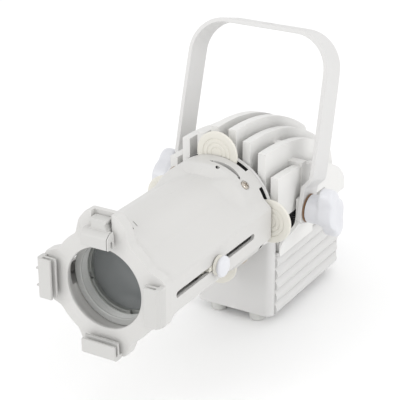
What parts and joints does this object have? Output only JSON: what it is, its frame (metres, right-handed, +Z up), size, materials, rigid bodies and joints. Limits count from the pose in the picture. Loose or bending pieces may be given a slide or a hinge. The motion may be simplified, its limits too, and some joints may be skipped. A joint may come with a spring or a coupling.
{
  "type": "profile spotlight",
  "caption": "Small LED profile spotlight with framing shutters, two sliding lenses, finned heatsink, tilting yoke and a driver box that it stands on.",
  "frame": {"origin": "centre of the overall box at its bottom: on the table, between the four feet and the front of the barrel", "axes": "+Z up; +Y back along the lens axis towards the heatsink; +X to the side with the focus slider, and the two sides are alike about x = 0 but for the sliders"},
  "size_m": [0.172, 0.3334, 0.251],
  "materials": {
    "shell_paint": "warm white satin paint on die-cast aluminium",
    "box_paint": "warm white satin paint on extruded and sheet aluminium",
    "heatsink_paint": "warm white satin paint on die-cast aluminium",
    "yoke_paint": "warm white satin powder coat on steel",
    "clip_paint": "warm white satin paint",
    "shutter_disc": "cream moulded heat-resistant plastic",
    "slider_plastic": "cream moulded plastic",
    "knob_plastic": "cool white satin plastic",
    "carriage_plastic": "grey-green matte",
    "blade_steel": "dark heat-tinted steel",
    "fastener": "nickel-plated steel",
    "reflector_metal": "bright anodised",
    "fibre": "brown friction fibre",
    "lens_glass": "clear",
    "circuit_board": "green solder mask",
    "led_phosphor": "yellow phosphor",
    "black_plastic": "black moulded plastic",
    "foot_rubber": "light grey rubber",
    "button_plastic": "grey plastic"
  },
  "bodies": {
    "lamp": {"barrel_shell_left": "shell_paint", "barrel_shell_right": "shell_paint", "collar_screw_1": "fastener", "collar_screw_2": "fastener", "collar_screw_3": "fastener", "collar_screw_4": "fastener", "control_board": "circuit_board", "data_in_socket": "black_plastic", "data_out_socket": "black_plastic", "display_window": "black_plastic", "driver_board": "circuit_board", "driver_box_front_cover": "box_paint", "driver_box_rear_panel": "box_paint", "driver_box_shell": "box_paint", "foot_front_left": "foot_rubber", "foot_front_right": "foot_rubber", "foot_rear_left": "foot_rubber", "foot_rear_right": "foot_rubber", "frame_clip_bottom": "clip_paint", "frame_clip_left": "clip_paint", "frame_clip_right": "clip_paint", "fuse_drawer": "black_plastic", "gate_housing": "shell_paint", "gate_plate": "blade_steel", "heatsink": "heatsink_paint", "led_board": "circuit_board", "led_emitter": "led_phosphor", "pivot_bolt_left": "fastener", "pivot_bolt_right": "fastener", "pivot_cradle": "heatsink_paint", "power_inlet": "black_plastic", "reflector": "reflector_metal", "shutter_guide": "blade_steel"},
    "yoke_bail": {"yoke": "yoke_paint", "friction_washer_left": "fibre", "friction_washer_right": "fibre"},
    "right_tilt_knob": {"tilt_knob_right": "knob_plastic"},
    "left_tilt_knob": {"tilt_knob_left": "knob_plastic"},
    "front_carriage": {"front_lens_carriage": "carriage_plastic", "front_lens": "lens_glass", "focus_slider": "slider_plastic"},
    "focus_thumb_screw": {"focus_knob": "knob_plastic"},
    "rear_carriage": {"rear_lens_carriage": "carriage_plastic", "rear_lens": "lens_glass", "zoom_slider": "slider_plastic"},
    "zoom_thumb_screw": {"zoom_knob": "knob_plastic"},
    "colour_frame_latch": {"frame_latch": "clip_paint"},
    "top_shutter": {"shutter_blade_top": "blade_steel", "shutter_handle_top": "shutter_disc"},
    "right_shutter": {"shutter_blade_right": "blade_steel", "shutter_handle_right": "shutter_disc"},
    "bottom_shutter": {"shutter_blade_bottom": "blade_steel", "shutter_handle_bottom": "shutter_disc"},
    "left_shutter": {"shutter_blade_left": "blade_steel", "shutter_handle_left": "shutter_disc"},
    "button_1": {"menu_button_1": "button_plastic"},
    "button_2": {"menu_button_2": "button_plastic"},
    "button_3": {"menu_button_3": "button_plastic"},
    "button_4": {"menu_button_4": "button_plastic"}
  },
  "joints": [
    {"name": "yoke_tilt", "type": "hinge", "parent": "lamp", "child": "yoke_bail", "pos_m": [0, 0.0553, 0.1088], "axis": [1, 0, 0], "range_deg": [-95, 58]},
    {"name": "tilt_knob_right_turn", "type": "hinge", "parent": "lamp", "child": "right_tilt_knob", "pos_m": [0.0615, 0.0553, 0.1088], "axis": [1, 0, 0], "range_deg": [0, 540]},
    {"name": "tilt_knob_left_turn", "type": "hinge", "parent": "lamp", "child": "left_tilt_knob", "pos_m": [-0.0615, 0.0553, 0.1088], "axis": [-1, 0, 0], "range_deg": [0, 540]},
    {"name": "shutter_top_slide", "type": "slide", "parent": "lamp", "child": "top_shutter", "axis": [0, 0, 1], "range_m": [0, 0.017]},
    {"name": "shutter_right_slide", "type": "slide", "parent": "lamp", "child": "right_shutter", "axis": [1, 0, 0], "range_m": [0, 0.017]},
    {"name": "shutter_bottom_slide", "type": "slide", "parent": "lamp", "child": "bottom_shutter", "axis": [0, 0, -1], "range_m": [0, 0.017]},
    {"name": "shutter_left_slide", "type": "slide", "parent": "lamp", "child": "left_shutter", "axis": [-1, 0, 0], "range_m": [0, 0.017]},
    {"name": "frame_latch_lift", "type": "slide", "parent": "lamp", "child": "colour_frame_latch", "axis": [0, 0, 1], "range_m": [0, 0.008], "stiffness_N_per_m": 150, "springref_m": -0.004},
    {"name": "focus_slide", "type": "slide", "parent": "lamp", "child": "front_carriage", "axis": [0, 1, 0], "range_m": [-0.008, 0.018]},
    {"name": "focus_knob_turn", "type": "hinge", "parent": "front_carriage", "child": "focus_thumb_screw", "pos_m": [0.0516, -0.0817, 0.1128], "axis": [1, 0, 0], "range_deg": [0, 720]},
    {"name": "zoom_slide", "type": "slide", "parent": "lamp", "child": "rear_carriage", "axis": [0, 1, 0], "range_m": [-0.003, 0.014]},
    {"name": "zoom_knob_turn", "type": "hinge", "parent": "rear_carriage", "child": "zoom_thumb_screw", "pos_m": [-0.0516, -0.0437, 0.1128], "axis": [-1, 0, 0], "range_deg": [0, 720]},
    {"name": "button_1_press", "type": "slide", "parent": "lamp", "child": "button_1", "axis": [0, -1, 0], "range_m": [0, 0.001], "stiffness_N_per_m": 400, "springref_m": -0.0008},
    {"name": "button_2_press", "type": "slide", "parent": "lamp", "child": "button_2", "axis": [0, -1, 0], "range_m": [0, 0.001], "stiffness_N_per_m": 400, "springref_m": -0.0008},
    {"name": "button_3_press", "type": "slide", "parent": "lamp", "child": "button_3", "axis": [0, -1, 0], "range_m": [0, 0.001], "stiffness_N_per_m": 400, "springref_m": -0.0008},
    {"name": "button_4_press", "type": "slide", "parent": "lamp", "child": "button_4", "axis": [0, -1, 0], "range_m": [0, 0.001], "stiffness_N_per_m": 400, "springref_m": -0.0008}
  ]
}
